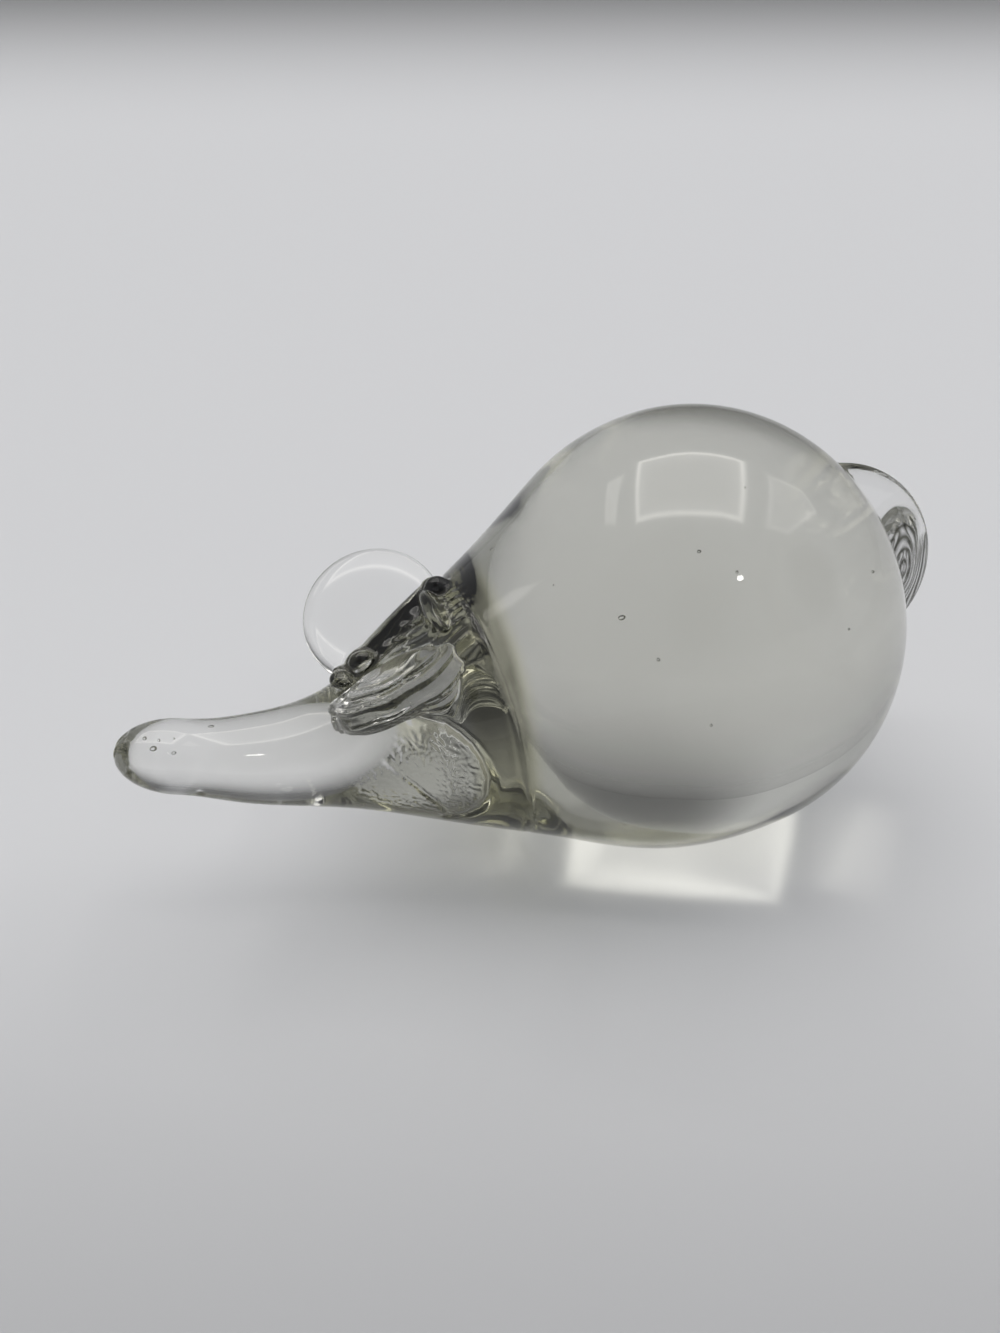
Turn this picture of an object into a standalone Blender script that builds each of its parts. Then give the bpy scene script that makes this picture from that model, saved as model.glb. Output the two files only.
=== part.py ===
"""Clear glass mouse paperweight, worked hot from four pieces of glass.

The body is one solid gather drawn out into a long snout and ground flat underneath. Two pressed
discs are set on the head as ears, and a third, oval one stands on the rump as the tail.

Frame: metres, +Z up, nose towards -X, the mirror plane of the mouse is Y = 0. The origin is the
middle of the flat ground base, on the surface that the mouse stands on.
"""

import math

import bmesh
import bpy
import numpy as np
from mathutils import Matrix, Vector

MM = 0.001

# Body, from the nose to the rump. The axis is bent in the mirror plane. Distances run along X
# from the widest part of the body, drops are measured down from the axis at that part, and
# heights are the upright half sizes of the body. Its sides are pressed in to the half width.
BODY_HALF_HEIGHT = 35.0 * MM
BODY_HALF_WIDTH = 31.5 * MM
RUMP_DEPTH = 32.5 * MM
RUMP_RISE = 0.25
BELLY_DISTANCE = 14.5 * MM
BELLY_HALF_HEIGHT = 32.0 * MM
BELLY_DROP = 3.3 * MM
SHOULDER_DISTANCE = 28.5 * MM
SHOULDER_HALF_HEIGHT = 24.2 * MM
SHOULDER_DROP = 5.3 * MM
HEAD_DISTANCE = 42.5 * MM
HEAD_HALF_HEIGHT = 16.6 * MM
HEAD_DROP = 7.0 * MM
BROW_DISTANCE = 56.5 * MM
BROW_HALF_HEIGHT = 9.5 * MM
BROW_DROP = 7.8 * MM
SNOUT_DISTANCE = 70.5 * MM
SNOUT_HALF_HEIGHT = 6.5 * MM
SNOUT_DROP = 5.6 * MM
NOSE_DISTANCE = 78.5 * MM
NOSE_HALF_HEIGHT = 5.5 * MM
NOSE_DROP = 2.7 * MM
NOSE_DEPTH = 8.7 * MM

# The ground flat takes this much off the lowest part of the belly.
BASE_CUT = 3.0 * MM

# The crease left by the jacks round the neck.
JACK_DISTANCE = 34.0 * MM
JACK_DEPTH = 0.35 * MM
JACK_HALF_WIDTH = 1.1 * MM

# Ears: pressed round discs, each stuck to the head along a chord with a lump at both ends.
# The chord climbs by the pitch and spreads by the turn, and the disc leans out from it.
EAR_RADIUS = 10.4 * MM
EAR_THICKNESS = 6.2 * MM
EAR_STANDOFF = 3.5 * MM
EAR_DISTANCE = 44.8 * MM
EAR_ANGLE = 24.0
EAR_PITCH = 27.5
EAR_TURN = 17.0
EAR_LEAN = 67.5
EAR_FACE_POWER = 2.6
EAR_LUMP_RADIUS = 2.2 * MM
EAR_LUMP_REACH = 9.4 * MM

# Tail: an oval disc that stands in the mirror plane, sunk in the rump where the axis leaves it,
# with a thick butt low on its rim. The long side leans forward from the upright by the tilt.
TAIL_LENGTH = 41.0 * MM
TAIL_WIDTH = 30.0 * MM
TAIL_THICKNESS = 5.0 * MM
TAIL_SINK = 5.8 * MM
TAIL_TILT = 30.0
TAIL_FACE_POWER = 2.4
TAIL_BUTT_RADIUS = 4.0 * MM
TAIL_BUTT_TURN = -100.0

# Fused glass is kept apart by this clearance, because each piece is a solid of its own.
SEAT_GAP = 0.3 * MM

# Facets.
BODY_SIDES = 56
BODY_RING_SPACING = 2.6 * MM
CAP_RINGS = 12
DISC_SIDES = 44
DISC_RINGS = 7
LUMP_SIDES = 16
LUMP_RINGS = 8
SHARP_ANGLE = 40.0

GLASS_COLOUR = (0.90, 0.92, 0.90, 1.0)
GLASS_ROUGHNESS = 0.02
GLASS_IOR = 1.52


def clear_scene():
    """Remove whatever the file holds, so that the script always starts from nothing."""
    for item in list(bpy.data.objects):
        bpy.data.objects.remove(item, do_unlink=True)


def glass(name):
    """Clear glass for one piece."""
    material = bpy.data.materials.new(name)
    material.use_nodes = True
    shader = material.node_tree.nodes["Principled BSDF"]
    shader.inputs["Base Color"].default_value = GLASS_COLOUR
    shader.inputs["Roughness"].default_value = GLASS_ROUGHNESS
    shader.inputs["Metallic"].default_value = 0.0
    shader.inputs["IOR"].default_value = GLASS_IOR
    shader.inputs["Transmission Weight"].default_value = 1.0
    return material


def second_derivatives(knots, values, first_slope, last_slope):
    """Curvature at the knots of a cubic spline; an end with no slope given is left free."""
    count = len(knots)
    steps = np.diff(knots)
    slopes = np.diff(values) / steps
    matrix = np.eye(count)
    right = np.zeros(count)
    for i in range(1, count - 1):
        matrix[i, i - 1:i + 2] = steps[i - 1], 2.0 * (steps[i - 1] + steps[i]), steps[i]
        right[i] = 6.0 * (slopes[i] - slopes[i - 1])
    if first_slope is not None:
        matrix[0, 0:2] = 2.0 * steps[0], steps[0]
        right[0] = 6.0 * (slopes[0] - first_slope)
    if last_slope is not None:
        matrix[-1, -2:] = steps[-1], 2.0 * steps[-1]
        right[-1] = 6.0 * (last_slope - slopes[-1])
    return np.linalg.solve(matrix, right)


def spline(knots, values, first_slope, last_slope):
    """A function that reads the smooth cubic curve through the knots."""
    knots = np.asarray(knots)
    values = np.asarray(values)
    bend = second_derivatives(knots, values, first_slope, last_slope)

    def read(where):
        i = int(np.clip(np.searchsorted(knots, where) - 1, 0, len(knots) - 2))
        step = knots[i + 1] - knots[i]
        a = (knots[i + 1] - where) / step
        b = 1.0 - a
        curve = (a ** 3 - a) * bend[i] + (b ** 3 - b) * bend[i + 1]
        return float(a * values[i] + b * values[i + 1] + curve * step * step / 6.0)

    return read


def body_curves():
    """Axis height and upright half size of the body as functions of X, from the widest part."""
    stations = [
        (NOSE_DISTANCE, NOSE_DROP, NOSE_HALF_HEIGHT),
        (SNOUT_DISTANCE, SNOUT_DROP, SNOUT_HALF_HEIGHT),
        (BROW_DISTANCE, BROW_DROP, BROW_HALF_HEIGHT),
        (HEAD_DISTANCE, HEAD_DROP, HEAD_HALF_HEIGHT),
        (SHOULDER_DISTANCE, SHOULDER_DROP, SHOULDER_HALF_HEIGHT),
        (BELLY_DISTANCE, BELLY_DROP, BELLY_HALF_HEIGHT),
        (0.0, 0.0, BODY_HALF_HEIGHT),
    ]
    along = [-distance for distance, _, _ in stations]
    height = spline(along, [-drop for _, drop, _ in stations], None, RUMP_RISE)
    size = spline(along, [half for _, _, half in stations], 0.0, 0.0)
    return height, size


def axis_direction(height, x):
    """Unit direction of the axis at x, pointing to the rump."""
    step = 0.1 * MM
    before = max(x - step, -NOSE_DISTANCE)
    after = min(x + step, 0.0)
    rise = (height(after) - height(before)) / (after - before)
    return Vector((1.0, 0.0, rise)).normalized()


def jack_crease(x):
    """Depth of the crease round the neck at x."""
    offset = (x + JACK_DISTANCE) / JACK_HALF_WIDTH
    return JACK_DEPTH * math.exp(-offset * offset)


def ring_places():
    """Where the body's rings stand along X, closer together in the crease."""
    count = int(math.ceil(NOSE_DISTANCE / BODY_RING_SPACING))
    places = [-NOSE_DISTANCE * (1.0 - i / count) for i in range(count + 1)]
    crease = [-JACK_DISTANCE + k * JACK_HALF_WIDTH / 2.0 for k in range(-4, 5)]
    margin = BODY_RING_SPACING / 2.0
    clear = [x for x in places if x < crease[0] - margin or x > crease[-1] + margin]
    return sorted(clear + crease)


def body_rings():
    """Centre, axis direction and half size of each ring, from the nose cap to the rump cap."""
    height, size = body_curves()
    rings = []
    for x in ring_places():
        centre = Vector((x, 0.0, height(x)))
        rings.append((centre, axis_direction(height, x), size(x) - jack_crease(x)))
    nose, nose_way, nose_size = rings[0]
    rump, rump_way, rump_size = rings[-1]
    turns = [0.5 * math.pi * k / CAP_RINGS for k in range(1, CAP_RINGS)]
    for a in turns:
        centre = nose - nose_way * NOSE_DEPTH * math.sin(a)
        rings.insert(0, (centre, nose_way, nose_size * math.cos(a)))
        centre = rump + rump_way * RUMP_DEPTH * math.sin(a)
        rings.append((centre, rump_way, rump_size * math.cos(a)))
    tips = (nose - nose_way * NOSE_DEPTH, rump + rump_way * RUMP_DEPTH)
    return rings, tips


def ring_point(centre, way, size, angle):
    """A point on a ring: angle 0 is up in the mirror plane, 90 degrees is +Y."""
    up = Vector((-way.z, 0.0, way.x))
    across = Vector((0.0, BODY_HALF_WIDTH / BODY_HALF_HEIGHT, 0.0))
    return centre + (up * math.cos(angle) + across * math.sin(angle)) * size


def lathe_mesh(rings, tips, sides):
    """Closed mesh from rings and the two tips that close it."""
    mesh = bmesh.new()
    loops = []
    for centre, way, size in rings:
        angles = [2.0 * math.pi * k / sides for k in range(sides)]
        loops.append([mesh.verts.new(ring_point(centre, way, size, a)) for a in angles])
    for near, far in zip(loops, loops[1:]):
        for k in range(sides):
            mesh.faces.new((near[k], near[(k + 1) % sides], far[(k + 1) % sides], far[k]))
    first = mesh.verts.new(tips[0])
    last = mesh.verts.new(tips[1])
    for k in range(sides):
        mesh.faces.new((first, loops[0][(k + 1) % sides], loops[0][k]))
        mesh.faces.new((last, loops[-1][k], loops[-1][(k + 1) % sides]))
    bmesh.ops.recalc_face_normals(mesh, faces=mesh.faces)
    return mesh


def grind_flat(mesh, level):
    """Cut a mesh off flat at a height, close the cut with one face, and return the rim."""
    everything = mesh.verts[:] + mesh.edges[:] + mesh.faces[:]
    bmesh.ops.bisect_plane(
        mesh, geom=everything, plane_co=(0.0, 0.0, level), plane_no=(0.0, 0.0, -1.0), clear_outer=True
    )
    rim = [edge for edge in mesh.edges if edge.is_boundary]
    bmesh.ops.holes_fill(mesh, edges=rim)
    bmesh.ops.recalc_face_normals(mesh, faces=mesh.faces)
    return [vert for edge in rim for vert in edge.verts]


def base_shift():
    """Move that puts the middle of the ground flat at the origin."""
    rings, tips = body_rings()
    trial = lathe_mesh(rings, tips, BODY_SIDES)
    level = min(vert.co.z for vert in trial.verts) + BASE_CUT
    places = [vert.co.x for vert in grind_flat(trial, level)]
    trial.free()
    return Vector((-0.5 * (min(places) + max(places)), 0.0, -level))


def add_object(name, mesh, material=None):
    """Link a finished mesh to the scene as a named object."""
    data = bpy.data.meshes.new(name)
    mesh.to_mesh(data)
    mesh.free()
    item = bpy.data.objects.new(name, data)
    bpy.context.scene.collection.objects.link(item)
    if material:
        data.materials.append(material)
        data.shade_smooth()
        data.set_sharp_from_angle(angle=math.radians(SHARP_ANGLE))
    return item


def hide_guide(item):
    """Mark an object that only cuts or joins others."""
    item.hide_render = True
    item.display_type = "WIRE"
    item.hide_set(True)


def body_form(shift):
    """The body before its base is ground, moved into place."""
    rings, tips = body_rings()
    mesh = lathe_mesh(rings, tips, BODY_SIDES)
    bmesh.ops.translate(mesh, verts=mesh.verts, vec=shift)
    return mesh


def make_body(shift):
    """The body gather with its ground base."""
    mesh = body_form(shift)
    grind_flat(mesh, 0.0)
    return add_object("body", mesh, glass("body_glass"))


def make_seat_cutter(shift):
    """The body grown by the seat clearance: what ears and tail are cut to fit."""
    mesh = body_form(shift)
    mesh.normal_update()
    for vert in mesh.verts:
        vert.co += vert.normal * SEAT_GAP
    cutter = add_object("seat_cutter", mesh)
    hide_guide(cutter)
    return cutter


def surface_point(distance, angle):
    """Point on the body's skin at a distance from its widest part and an angle from the top."""
    height, size = body_curves()
    centre = Vector((-distance, 0.0, height(-distance)))
    way = axis_direction(height, -distance)
    return ring_point(centre, way, size(-distance), math.radians(angle))


def disc_mesh(half_length, half_width, thickness, power):
    """A pressed disc in the XY plane: flat faces that roll over into a round rim."""
    mesh = bmesh.new()
    loops = []
    for k in range(1, 2 * DISC_RINGS):
        a = math.pi * k / (2 * DISC_RINGS)
        reach = math.sin(a) ** (2.0 / power)
        level = math.copysign(abs(math.cos(a)) ** (2.0 / power), math.cos(a))
        loop = []
        for side in range(DISC_SIDES):
            b = 2.0 * math.pi * side / DISC_SIDES
            place = (half_length * reach * math.cos(b), half_width * reach * math.sin(b))
            loop.append(mesh.verts.new((*place, 0.5 * thickness * level)))
        loops.append(loop)
    for near, far in zip(loops, loops[1:]):
        for side in range(DISC_SIDES):
            following = (side + 1) % DISC_SIDES
            mesh.faces.new((near[side], far[side], far[following], near[following]))
    top = mesh.verts.new((0.0, 0.0, 0.5 * thickness))
    bottom = mesh.verts.new((0.0, 0.0, -0.5 * thickness))
    for side in range(DISC_SIDES):
        following = (side + 1) % DISC_SIDES
        mesh.faces.new((top, loops[0][side], loops[0][following]))
        mesh.faces.new((bottom, loops[-1][following], loops[-1][side]))
    bmesh.ops.recalc_face_normals(mesh, faces=mesh.faces)
    return mesh


def lump_mesh(radius, place):
    """A small round lump of glass."""
    mesh = bmesh.new()
    spot = Matrix.Translation(place)
    bmesh.ops.create_uvsphere(
        mesh, u_segments=LUMP_SIDES, v_segments=LUMP_RINGS, radius=radius, matrix=spot
    )
    return mesh


def boolean(item, other, operation):
    """Join or cut one object with another, and keep the result in its mesh."""
    modifier = item.modifiers.new(operation.lower(), "BOOLEAN")
    modifier.operation = operation
    modifier.solver = "EXACT"
    modifier.object = other
    return modifier


def ear_axes(side):
    """Chord, outward and face directions of an ear; side is -1 for the left ear, +1 for the right."""
    pitch = math.radians(EAR_PITCH)
    turn = math.radians(EAR_TURN)
    lean = math.radians(EAR_LEAN)
    chord = Vector((
        math.cos(pitch) * math.cos(turn),
        math.cos(pitch) * math.sin(turn),
        math.sin(pitch),
    ))
    level = Vector((-chord.y, chord.x, 0.0)).normalized()
    raised = chord.cross(level)
    outward = (level * math.sin(lean) + raised * math.cos(lean)).normalized()
    face = outward.cross(chord)
    mirror = Matrix.Diagonal((1.0, side, 1.0))
    return mirror @ chord, mirror @ outward, mirror @ face


def make_ear(name, side, shift, cutter):
    """One ear: a pressed disc with a lump at each end of its seat, cut to sit on the head."""
    chord, outward, face = ear_axes(side)
    seat = surface_point(EAR_DISTANCE, side * EAR_ANGLE) + shift
    mesh = disc_mesh(EAR_RADIUS, EAR_RADIUS, EAR_THICKNESS, EAR_FACE_POWER)
    axes = Matrix((chord, outward, face)).transposed().to_4x4()
    place = Matrix.Translation(seat + outward * EAR_STANDOFF) @ axes
    bmesh.ops.transform(mesh, matrix=place, verts=mesh.verts)
    bmesh.ops.recalc_face_normals(mesh, faces=mesh.faces)
    ear = add_object(name, mesh, glass(name + "_glass"))
    for end, label in ((-1.0, "front"), (1.0, "rear")):
        lump = lump_mesh(EAR_LUMP_RADIUS, seat + chord * EAR_LUMP_REACH * end)
        guide = add_object(f"{name}_{label}_lump", lump)
        hide_guide(guide)
        boolean(ear, guide, "UNION")
    boolean(ear, cutter, "DIFFERENCE")
    return ear


def make_tail(shift, cutter):
    """The tail: an oval disc standing in the mirror plane, with a thick butt low on its rim."""
    height, _ = body_curves()
    outward = axis_direction(height, 0.0)
    middle = Vector((0.0, 0.0, height(0.0))) + shift + outward * (RUMP_DEPTH - TAIL_SINK)
    across = Matrix.Rotation(-math.radians(TAIL_TILT), 3, "Y") @ outward
    along = Vector((-across.z, 0.0, across.x))
    mesh = disc_mesh(0.5 * TAIL_WIDTH, 0.5 * TAIL_LENGTH, TAIL_THICKNESS, TAIL_FACE_POWER)
    axes = Matrix((across, along, across.cross(along))).transposed().to_4x4()
    bmesh.ops.transform(mesh, matrix=Matrix.Translation(middle) @ axes, verts=mesh.verts)
    bmesh.ops.recalc_face_normals(mesh, faces=mesh.faces)
    tail = add_object("tail", mesh, glass("tail_glass"))
    turn = math.radians(TAIL_BUTT_TURN)
    reach = across * (0.5 * TAIL_WIDTH - TAIL_BUTT_RADIUS) * math.cos(turn)
    reach += along * (0.5 * TAIL_LENGTH - TAIL_BUTT_RADIUS) * math.sin(turn)
    guide = add_object("tail_butt", lump_mesh(TAIL_BUTT_RADIUS, middle + reach))
    hide_guide(guide)
    boolean(tail, guide, "UNION")
    boolean(tail, cutter, "DIFFERENCE")
    return tail


def main():
    clear_scene()
    shift = base_shift()
    make_body(shift)
    cutter = make_seat_cutter(shift)
    make_ear("ear_left", -1.0, shift, cutter)
    make_ear("ear_right", 1.0, shift, cutter)
    make_tail(shift, cutter)


main()
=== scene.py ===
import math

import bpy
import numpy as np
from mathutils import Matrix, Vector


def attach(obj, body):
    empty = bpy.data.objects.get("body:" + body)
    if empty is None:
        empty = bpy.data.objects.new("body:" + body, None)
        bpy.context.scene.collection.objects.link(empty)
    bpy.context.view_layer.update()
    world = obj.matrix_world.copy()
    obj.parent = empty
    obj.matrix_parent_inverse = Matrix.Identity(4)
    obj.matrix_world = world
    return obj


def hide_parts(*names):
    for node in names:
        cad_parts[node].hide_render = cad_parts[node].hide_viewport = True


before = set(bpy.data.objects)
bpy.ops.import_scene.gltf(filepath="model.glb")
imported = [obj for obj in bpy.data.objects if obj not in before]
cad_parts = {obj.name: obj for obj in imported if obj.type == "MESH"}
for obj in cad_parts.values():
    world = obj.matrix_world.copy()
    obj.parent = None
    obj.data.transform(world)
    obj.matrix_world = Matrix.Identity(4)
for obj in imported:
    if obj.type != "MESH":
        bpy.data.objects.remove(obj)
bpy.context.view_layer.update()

# Clear glass mouse paperweight. Its four pieces of glass are fused, so the skin of the whole is one
# smooth surface, the places where a field of distances is zero. That skin is cut into the four
# pieces along their seams, and each piece is closed across its seam by a joint face that light
# passes as if nothing were there. All lengths are in millimetres until a mesh is made.

MM = 0.001

# The body's stations from the widest part to the nose: distance, half height and drop.
STATIONS = [
    (0.0, 35.0, 0.0),
    (14.5, 32.0, 3.3),
    (28.5, 24.2, 5.3),
    (42.5, 16.6, 7.0),
    (56.5, 9.5, 7.8),
    (70.5, 6.5, 5.6),
    (78.5, 5.5, 2.7),
]
WIDE = np.array([2.50, 0.0, 32.23])
BODY_HALF_HEIGHT = 35.0
BODY_HALF_WIDTH = 32.2
RUMP_DEPTH = 31.7
RUMP_RISE = 0.25
NOSE_DISTANCE = 78.5
NOSE_DEPTH = 8.7
# how much flatter than a circle the sections are, on top, below and at the neck
CROWN = 0.0145
BELLY = 0.084
NECK_FLAT = 0.05
# the sections grow round from the egg to the neck
NECK_WIDE = 1.03
NECK_START = 2.0
NECK_LENGTH = 26.0
EGG_END = 34.0
EGG_SOFT = 4.0
# a bulge low on the egg's left
BELLY_BULGE = 0.13
BULGE_SIDE = 4.0
BASE_ROUND = 0.6
# the crease round the neck, how it waves, and the low lip in front of it
JACK_DISTANCE = 34.0
CREASE_WAVE = 0.35
CREASE_DEPTH = 0.14
CREASE_WIDTH = 0.34
LIP_DISTANCE = 0.9
LIP_HEIGHT = 0.05
LIP_WIDTH = 0.4
# a patch of rough glass low on the neck's left, as (x, z) from the widest part
PATCH_RIM = [
    (-47.5, 2.4), (-43.7, 2.9), (-42.1, 2.1), (-40.8, 0.9), (-39.8, -1.0), (-39.2, -3.7),
    (-39.4, -7.3), (-40.4, -10.4), (-41.9, -12.6), (-44.2, -14.0),
]
PATCH_FOLD = [(-51.7, -3.4), (-48.3, -6.8), (-45.6, -10.1), (-44.0, -13.0)]
PATCH = (
    [(-57.5, -8.5), (-56.0, -5.5), (-52.0, -3.0), (-50.5, 0.5)]
    + PATCH_RIM
    + [(-50.0, -12.5), (-56.0, -10.5)]
)
PATCH_RIM_DEPTH = 0.42
PATCH_RIM_WIDTH = 0.62
PATCH_FOLD_DEPTH = 0.2
PATCH_FOLD_WIDTH = 0.4
PEEL_DEPTH = 0.032
PEEL_FADE = 1.5
# nicks in the nose's tip and low on its side: place, half sizes and depth
NICKS = [
    ((-86.0, 0.9, 1.7), (0.9, 0.24, 0.9), 0.35), ((-86.3, -0.3, 0.9), (0.9, 0.22, 1.0), 0.4),
    ((-85.6, -2.5, 0.1), (0.3, 0.5, 0.9), 0.35), ((-85.0, -3.3, -0.7), (0.25, 0.8, 0.8), 0.35),
    ((-84.3, -0.5, 2.6), (0.5, 0.4, 0.6), 0.35), ((-84.5, 1.6, 2.1), (0.3, 0.8, 0.5), 0.3),
    ((-76.7, -5.0, -5.7), (0.35, 0.6, 0.7), 0.3),
]
# the folds between the ears: their middle, half sizes and fades along x and y
CROWN_FOLD_DEPTH = 0.13
CROWN_FOLD_PITCH = 1.9
CROWN_FOLD_X = (-44.5, 9.0, 4.0)
CROWN_FOLD_Y = (5.5, 2.0)
# the boxes that hold the nicks, the folds between the ears and the patch, as (from, to) of x, y, z
FAR_OFF = 1e3
NICKS_BOX = ((-FAR_OFF, -74.0), (-FAR_OFF, FAR_OFF), (-FAR_OFF, FAR_OFF))
CROWN_BOX = ((-54.0, -35.0), (-6.0, 6.0), (-2.0, FAR_OFF))
PATCH_BOX = ((-59.0, -37.0), (-FAR_OFF, -3.0), (-FAR_OFF, 4.5))

EAR_CENTRE = np.array([-47.84, 8.41, 7.89])
EAR_CHORD = np.array([0.848, 0.259, 0.462])
EAR_OUT = np.array([-0.439, 0.832, 0.339])
EAR_RADIUS = 10.4
EAR_THICKNESS = 6.2
EAR_POWER = 3.4
FAR_EAR_POWER = 4.0
FAR_EAR_THICKNESS = 4.6
NEAR_EAR_SHIFT = -1.3
NEAR_EAR_CHORD = 9.1
# folds pressed round the near ear: latitude, width (degrees) and depth
EAR_FOLDS = [
    (62, 8, 0.25), (40, 9, 0.7), (21, 4, 0.16), (4, 8, 0.5), (-16, 5, 0.2), (-35, 8, 0.4),
]
# pleats at the far ear's root: place along it, width and depth
ROOT_PLEATS = [
    (-7.4, 1.2, 0.2), (-4.6, 0.5, 0.12), (-1.6, 1.6, 0.26), (1.4, 0.6, 0.16), (4.2, 1.1, 0.22),
]
ROOT_HEIGHT = 3.0
ROOT_SLANT = 0.25
# lumps of the ears: place and half sizes, the far ear's from the widest part, the near ear's own
FAR_EAR_LUMPS = [
    ((-54.8, 1.3, 3.4), (1.7, 1.7, 1.3)), ((-51.6, 1.8, 5.3), (1.9, 1.5, 1.7)),
    ((-40.8, 1.8, 11.6), (1.5, 4.7, 1.5)), ((-38.8, 6.4, 12.4), (1.7, 1.4, 1.5)),
]
NEAR_EAR_LUMPS = [
    ((5.6, 2.6, -0.4), (3.0, 4.6, 4.3)), ((5.6, -2.8, -3.6), (1.3, 1.7, 2.4)),
    ((1.5, 0.0, -3.4), (4.5, 1.6, 1.3)), ((-8.2, 1.5, 0.0), (1.8, 3.0, 2.4)),
]

TAIL_CENTRE = np.array([25.6, 0.0, 6.3])
TAIL_TURN = 30.0
TAIL_LENGTH = 41.0
TAIL_WIDTH = 30.0
TAIL_THICKNESS = 4.6
TAIL_POWER = 3.6
TAIL_THIN = 0.66
# the tail's butt: a lump of folded glass, long along the slant of its nested arches
BUTT_SIZES = (4.3, 9.6, 3.4)
FOOT_LUMP = ((-1.9, -16.2), (4.0, 4.0, 4.0))
# the arches' middle and slant, across and along the tail
ARCH_PLACE = (6.6, -8.4)
ARCH_SLANT = (0.56, 0.83)
ARCH_PITCH = 1.5
ARCH_DEPTH = 0.2
ARCH_LENGTH = 2.7
ARCH_REACH = 3.4

FILLET = 0.6
FAR_EAR_FILLET = 1.5
FAR_LUMP_FILLET = 0.7
NEAR_LUMP_FILLET = 1.4
BUTT_FILLET = 1.2
FOOT_FILLET = 1.5
EAR_PARTING = 0.6

# the skin's grid along x, y and z: from, to, coarse and fine steps, and the fine stretches
GRIDS = (
    (-90.0, 46.0, 1.0, 0.33, ((-87.0, -82.5), (-60.0, -33.0), (30.0, 41.0))),
    (-34.0, 34.0, 1.0, 0.4, ((-19.0, 19.0),)),
    (-35.0, 38.0, 0.9, 0.36, ((-13.0, 17.0),)),
)
GRID_GROWTH = 0.08
ROUGH_STEP = 4
NEAR_SKIN = 3.4

PIECES = ("body", "ear_right", "ear_left", "tail")
# air bubbles in the glass: place from the widest part, radius and stretch along x
BUBBLES = [
    ((-82.2, -0.9, 2.3), 0.28, 1.0), ((-81.4, -2.4, 1.6), 0.36, 1.3),
    ((-80.6, -0.6, 0.9), 0.2, 1.0), ((-79.0, -3.2, 0.8), 0.22, 1.5),
    ((-73.6, 0.4, 0.7), 0.22, 2.0), ((-78.6, -1.8, 2.0), 0.16, 1.0),
    ((-20.8, -17.2, 18.2), 0.34, 1.6), ((-17.9, -22.4, 14.5), 0.24, 1.0),
    ((-10.6, -16.9, 25.7), 0.22, 1.3), ((-6.9, -20.3, 23.9), 0.2, 1.0),
    ((-26.5, -8.0, 18.6), 0.12, 1.0), ((8.0, -24.0, 14.0), 0.16, 1.2),
    ((14.5, -17.0, 16.5), 0.2, 1.8), ((-12.0, -27.0, 6.0), 0.2, 1.0),
    ((-2.0, -12.0, 30.5), 0.12, 1.0), ((-30.0, 6.0, 16.5), 0.25, 1.4),
    ((4.0, 20.0, 22.0), 0.22, 1.2),
]
BUBBLE_TURNS = 12
BUBBLE_ROWS = 7
BUBBLE_WOBBLE = 0.07

GLASS_IOR = 1.52
GLASS_TINT = (0.918, 0.918, 0.90, 1.0)
GLASS_DENSITY = 66.0
CLEAR = (1.0, 1.0, 1.0, 1.0)
EAR_STAIN = (0.9, 0.9, 0.86, 1.0)
# the olive stain round the neck, and the near-black of painted shade in the tail's butt
GLASS_STAINS_AND_SHADE = {"body": (0.95, 0.93, 0.68, 1.0), "tail": (0.03, 0.03, 0.02, 1.0)}
# the near-black colour of the painted shade beside the neck's crease
CREASE_SHADE_COLOUR = (0.10, 0.095, 0.055, 1.0)
STREAK_STAIN = 0.02
# the olive band round the neck, and the band of painted shade beside the neck's crease: place along
# x, half width and soft edge
NECK_BAND = (-37.0, 3.6, 1.3)
CREASE_SHADE_BAND = (-35.5, 1.5, 0.8)
# painted shade in the tail's butt: edges of its arches and of its foot
BUTT_SHADE_EDGE = (3.5, 3.2)
FOOT_SHADE_EDGE = (-8.6, -10.0)
SMEAR_ROUGHNESS = 0.02
WAVE_STRENGTH = 0.12
WAVE_DEPTH = 0.05
PATCH_MIDDLE = np.array([-46.8, -12.5, -5.5])
PATCH_EDGE = (7.0, 5.2)
PATCH_GRAIN = 5.0

# the view: its turn and tilt in degrees, its place, and its focal length for a width of 1000
VIEW_YAW = 20.0
VIEW_TILT = 38.0
VIEW_PLACE = (-71.98, -118.42, 131.13)
VIEW_FOCAL = 1080.0
VIEW_WIDTH = 1000.0
SENSOR_WIDTH = 36.0

FLOOR_GAP = -0.00005
FLOOR_COLOUR = (0.80, 0.81, 0.835, 1.0)
FLOOR_ROUGHNESS = 0.9
FLOOR_STEPS = 64
FLOOR_RINGS = (0.04, 0.1, 0.2, 0.4, 0.8, 1.6, 3.2, 6.4)
# painted shade on the sheet, far behind the mouse and a little in front of it: start, end and share
FLOOR_SHADE_FADES = ((0.48, 1.2, 0.66), (-0.02, -0.1, 0.1), (0.0, -0.15, 0.33))
SHEEN_START = 0.53
SHEEN_MOST = 0.95
SHEEN_ROUGHNESS = 0.05

WALL_LIGHT = 0.53
RING_LIGHT = 4.0
EDGE_LIGHT = 2.0
PANEL_LIGHT = 0.9
SIDE_LIGHT = 1.5
BULB_LIGHT = 22.0
BULB_PLACE = (171.0, 49.0)
BULB_RADII = (1.5, 0.9)
WALL_TINT = (0.985, 0.995, 1.02)
LAMP_TINT = (1.03, 1.0, 0.95)
BACKDROP = (0.33, 0.335, 0.35, 1.0)
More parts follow.
